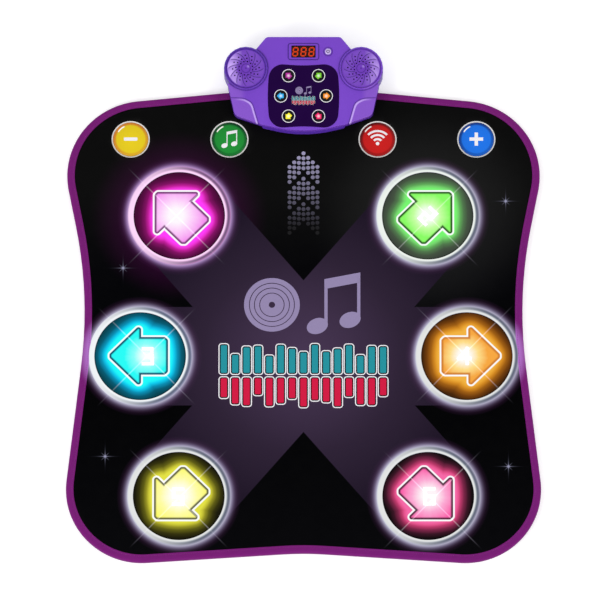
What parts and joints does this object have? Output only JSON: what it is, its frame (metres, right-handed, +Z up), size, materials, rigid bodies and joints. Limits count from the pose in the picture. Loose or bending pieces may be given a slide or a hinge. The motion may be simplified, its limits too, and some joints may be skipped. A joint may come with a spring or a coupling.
{
  "type": "electronic dance mat",
  "caption": "Padded floor mat with numbered arrow pads and round touch buttons, pressed by foot, with a wedge console carrying speakers and a digit display.",
  "frame": {"origin": "middle of the mat on its underside, the surface that lies on the floor", "axes": "+Z up, +Y towards the console, +X to the right of someone who stands on the mat and faces the console"},
  "size_m": [0.9006, 1.0279, 0.0588],
  "materials": {
    "printed_cover": "black coated cloth with a printed light pattern, satin",
    "edge_tape": "purple woven edging tape",
    "grip_cloth": "dark cloth with small raised grip dots",
    "foam": "light grey closed-cell foam, matt",
    "film": "printed polyester film",
    "pad_window": "smoked printed window over the lamps",
    "pad_ring": "milky light ring",
    "circuit_board": "green solder mask",
    "purple_shell": "satin purple moulding",
    "purple_grille": "satin light purple moulding",
    "printed_panel": "dark violet printed panel",
    "red_window": "dark red clear window",
    "digit_module": "black housing of the digits",
    "clear_guide": "clear moulding",
    "power_cap": "pale satin cap",
    "yellow_cap": "yellow printed cap",
    "green_cap": "green printed cap",
    "red_cap": "red printed cap",
    "blue_cap": "blue printed cap",
    "steel": "bright steel",
    "cell_jacket": "plain wrapped cell",
    "speaker_cone": "black paper cone and frame",
    "dark_plastic": "dark moulding"
  },
  "bodies": {
    "mat": {"base_sheet": "grip_cloth", "lower_foam": "foam", "contact_film": "film", "spacer_sheet": "foam", "upper_foam": "foam", "top_sheet": "printed_cover", "edge_binding": "edge_tape", "pad_ring_1": "pad_ring", "pad_ring_2": "pad_ring", "pad_ring_3": "pad_ring", "pad_ring_4": "pad_ring", "pad_ring_5": "pad_ring", "pad_ring_6": "pad_ring", "pad_lamp_board_1": "circuit_board", "pad_lamp_board_2": "circuit_board", "pad_lamp_board_3": "circuit_board", "pad_lamp_board_4": "circuit_board", "pad_lamp_board_5": "circuit_board", "pad_lamp_board_6": "circuit_board", "console_cover": "purple_shell", "console_base": "purple_shell", "left_speaker_grille": "purple_grille", "right_speaker_grille": "purple_grille", "left_speaker_driver": "speaker_cone", "right_speaker_driver": "speaker_cone", "panel_overlay": "printed_panel", "display_window": "red_window", "display_module": "digit_module", "indicator_light_guide": "clear_guide", "main_board": "circuit_board", "ribbon_tail": "film", "clamp_plate": "dark_plastic", "front_left_screw": "steel", "front_right_screw": "steel", "rear_left_screw": "steel", "rear_right_screw": "steel", "battery_1": "cell_jacket", "battery_2": "cell_jacket", "battery_3": "cell_jacket", "left_battery_contact": "steel", "right_battery_contact": "steel"},
    "pad_1": {"pad_window_1": "pad_window", "pad_plunger_1": "foam"},
    "pad_2": {"pad_window_2": "pad_window", "pad_plunger_2": "foam"},
    "pad_3": {"pad_window_3": "pad_window", "pad_plunger_3": "foam"},
    "pad_4": {"pad_window_4": "pad_window", "pad_plunger_4": "foam"},
    "pad_5": {"pad_window_5": "pad_window", "pad_plunger_5": "foam"},
    "pad_6": {"pad_window_6": "pad_window", "pad_plunger_6": "foam"},
    "volume_down_key": {"volume_down_button": "yellow_cap"},
    "mode_key": {"mode_button": "green_cap"},
    "wireless_key": {"wireless_button": "red_cap"},
    "volume_up_key": {"volume_up_button": "blue_cap"},
    "power_key": {"power_button": "power_cap"},
    "battery_lid": {"battery_door": "purple_shell"}
  },
  "joints": [
    {"name": "pad_1_press", "type": "slide", "parent": "mat", "child": "pad_1", "axis": [0, 0, -1], "range_m": [0, 0.002], "stiffness_N_per_m": 8000},
    {"name": "pad_2_press", "type": "slide", "parent": "mat", "child": "pad_2", "axis": [0, 0, -1], "range_m": [0, 0.002], "stiffness_N_per_m": 8000},
    {"name": "pad_3_press", "type": "slide", "parent": "mat", "child": "pad_3", "axis": [0, 0, -1], "range_m": [0, 0.002], "stiffness_N_per_m": 8000},
    {"name": "pad_4_press", "type": "slide", "parent": "mat", "child": "pad_4", "axis": [0, 0, -1], "range_m": [0, 0.002], "stiffness_N_per_m": 8000},
    {"name": "pad_5_press", "type": "slide", "parent": "mat", "child": "pad_5", "axis": [0, 0, -1], "range_m": [0, 0.002], "stiffness_N_per_m": 8000},
    {"name": "pad_6_press", "type": "slide", "parent": "mat", "child": "pad_6", "axis": [0, 0, -1], "range_m": [0, 0.002], "stiffness_N_per_m": 8000},
    {"name": "volume_down_press", "type": "slide", "parent": "mat", "child": "volume_down_key", "axis": [0, 0, -1], "range_m": [0, 0.0015], "stiffness_N_per_m": 2400},
    {"name": "mode_press", "type": "slide", "parent": "mat", "child": "mode_key", "axis": [0, 0, -1], "range_m": [0, 0.0015], "stiffness_N_per_m": 2400},
    {"name": "wireless_press", "type": "slide", "parent": "mat", "child": "wireless_key", "axis": [0, 0, -1], "range_m": [0, 0.0015], "stiffness_N_per_m": 2400},
    {"name": "volume_up_press", "type": "slide", "parent": "mat", "child": "volume_up_key", "axis": [0, 0, -1], "range_m": [0, 0.0015], "stiffness_N_per_m": 2400},
    {"name": "power_press", "type": "slide", "parent": "mat", "child": "power_key", "axis": [0, 0.1392, -0.9903], "range_m": [0, 0.0008], "stiffness_N_per_m": 2500},
    {"name": "battery_lid_hinge", "type": "hinge", "parent": "mat", "child": "battery_lid", "pos_m": [0, 0.49575, 0.0025], "axis": [-1, 0, 0], "range_deg": [0, 70]}
  ]
}
